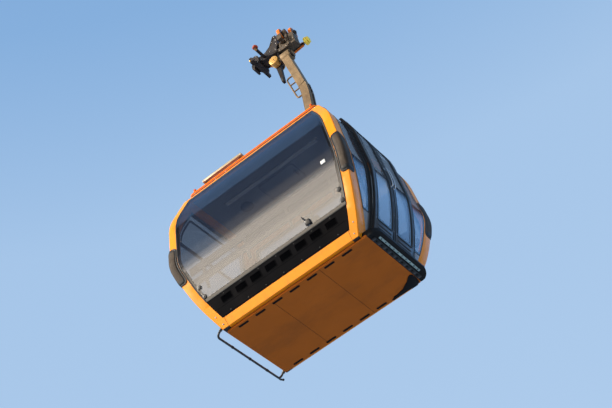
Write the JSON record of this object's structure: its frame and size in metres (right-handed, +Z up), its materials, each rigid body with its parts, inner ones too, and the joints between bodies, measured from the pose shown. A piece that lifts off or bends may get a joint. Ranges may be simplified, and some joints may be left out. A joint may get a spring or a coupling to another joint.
{
  "type": "detachable gondola cabin with hanger and grip",
  "caption": "Ropeway cabin with tinted curved windows, double sliding doors and a step, hung from a rope grip by a bent hanger arm.",
  "frame": {"origin": "centre of the haul rope, midway along the grip's jaws", "axes": "+X along the rope, door side towards -Y, +Z up"},
  "size_m": [1.8112, 2.5506, 4.466],
  "materials": {
    "body_paint": "satin enamel, orange",
    "roof_paint": "satin enamel, deep orange",
    "tinted_glass": "dark tinted, curved",
    "black_trim": "moulded, fine grain",
    "black_frame": "powder coat, black",
    "grey_panel": "powder coat, grey",
    "pad_rubber": "weathered bumper rubber",
    "floor_rubber": "studded mat",
    "liner": "ceiling lining",
    "seat_shell": "moulded",
    "seat_pad": "padded, synthetic leather",
    "poles": "brushed tube",
    "galvanised": "hot-dip galvanised, weathered",
    "cast_steel": "dark cast steel",
    "cap_metal": "zinc-yellow plating",
    "wheel_metal": "machined",
    "tyre_orange": "orange polyurethane",
    "roller_yellow": "yellow polyamide",
    "solar_cells": "cells under a clear sheet"
  },
  "bodies": {
    "grip": {"grip_frame": "cast_steel", "wheel_carrier": "cast_steel", "hanger_pin": "cast_steel", "rear_guide_bracket": "cast_steel", "front_guide_bracket": "cast_steel", "spring_canister": "cast_steel", "lower_guide": "cast_steel", "spring_caps": "cap_metal"},
    "clamp_jaw": {"moving_jaw": "cast_steel"},
    "control_roller": {"control_roller": "roller_yellow"},
    "rear_running_wheel": {"rear_running_wheel": "wheel_metal", "rear_wheel_tyre": "tyre_orange"},
    "front_running_wheel": {"front_running_wheel": "wheel_metal", "front_wheel_tyre": "tyre_orange"},
    "rear_guide_roller": {"rear_guide_roller": "tyre_orange"},
    "front_guide_roller": {"front_guide_roller": "tyre_orange"},
    "rear_door": {"rear_door_leaf": "black_frame", "rear_door_glass": "tinted_glass"},
    "front_door": {"front_door_leaf": "black_frame", "front_door_glass": "tinted_glass"},
    "cabin": {"hanger_arm": "galvanised", "climbing_rail": "galvanised", "suspension_frame": "galvanised", "roof_dampers": "pad_rubber", "roof": "roof_paint", "ceiling": "liner", "roof_lugs": "roof_paint", "solar_panel": "solar_cells", "top_rails": "body_paint", "corner_posts": "body_paint", "bumper_pads": "pad_rubber", "bottom_rails": "body_paint", "door_sill": "black_frame", "floor_pan": "body_paint", "floor_deck": "floor_rubber", "rear_window": "tinted_glass", "front_window": "tinted_glass", "rear_lower_panel": "black_trim", "front_lower_panel": "black_trim", "side_window": "tinted_glass", "side_lower_panel": "black_trim", "vent_window_bar": "black_trim", "door_side_windows": "tinted_glass", "door_side_panels": "grey_panel", "door_jambs": "black_frame", "door_header": "black_frame", "door_rail": "black_frame", "step_apron": "black_trim", "step_grille": "grey_panel", "guide_tube": "black_frame", "rear_bench": "seat_shell", "front_bench": "seat_shell", "rear_seat_cushions": "seat_pad", "front_seat_cushions": "seat_pad", "rear_backrest": "seat_shell", "front_backrest": "seat_shell", "grab_poles": "poles"}
  },
  "joints": [
    {"name": "hanger_swing", "type": "hinge", "parent": "grip", "child": "cabin", "pos_m": [0, -0.4375, -0.15], "axis": [0, 1, 0], "range_deg": [-30, 30]},
    {"name": "clamp_jaw_open", "type": "hinge", "parent": "grip", "child": "clamp_jaw", "pos_m": [0, 0.012, 0.098], "axis": [1, 0, 0], "range_deg": [0, 16], "stiffness_Nm_per_rad": 1500, "springref_deg": -17.19},
    {"name": "control_roller_spin", "type": "hinge", "parent": "clamp_jaw", "child": "control_roller", "pos_m": [0.128, -0.709, 0.045], "axis": [0, 1, 0], "continuous": true},
    {"name": "rear_running_wheel_spin", "type": "hinge", "parent": "grip", "child": "rear_running_wheel", "pos_m": [-0.055, -0.48, 0.232], "axis": [0, 1, 0], "continuous": true},
    {"name": "front_running_wheel_spin", "type": "hinge", "parent": "grip", "child": "front_running_wheel", "pos_m": [0.04, -0.599, 0.232], "axis": [0, 1, 0], "continuous": true},
    {"name": "rear_guide_roller_spin", "type": "hinge", "parent": "grip", "child": "rear_guide_roller", "pos_m": [-0.262, -0.162, 0.081], "axis": [0, 0, 1], "continuous": true},
    {"name": "front_guide_roller_spin", "type": "hinge", "parent": "grip", "child": "front_guide_roller", "pos_m": [0.3, -0.162, 0.149], "axis": [0, 0, 1], "continuous": true},
    {"name": "rear_door_slide", "type": "slide", "parent": "cabin", "child": "rear_door", "axis": [-1, 0, 0], "range_m": [0, 0.38]},
    {"name": "front_door_slide", "type": "slide", "parent": "cabin", "child": "front_door", "axis": [1, 0, 0], "range_m": [0, 0.38]}
  ],
  "couplings": [
    {"joint": "front_door_slide", "follows": "rear_door_slide", "ratio": 1}
  ]
}
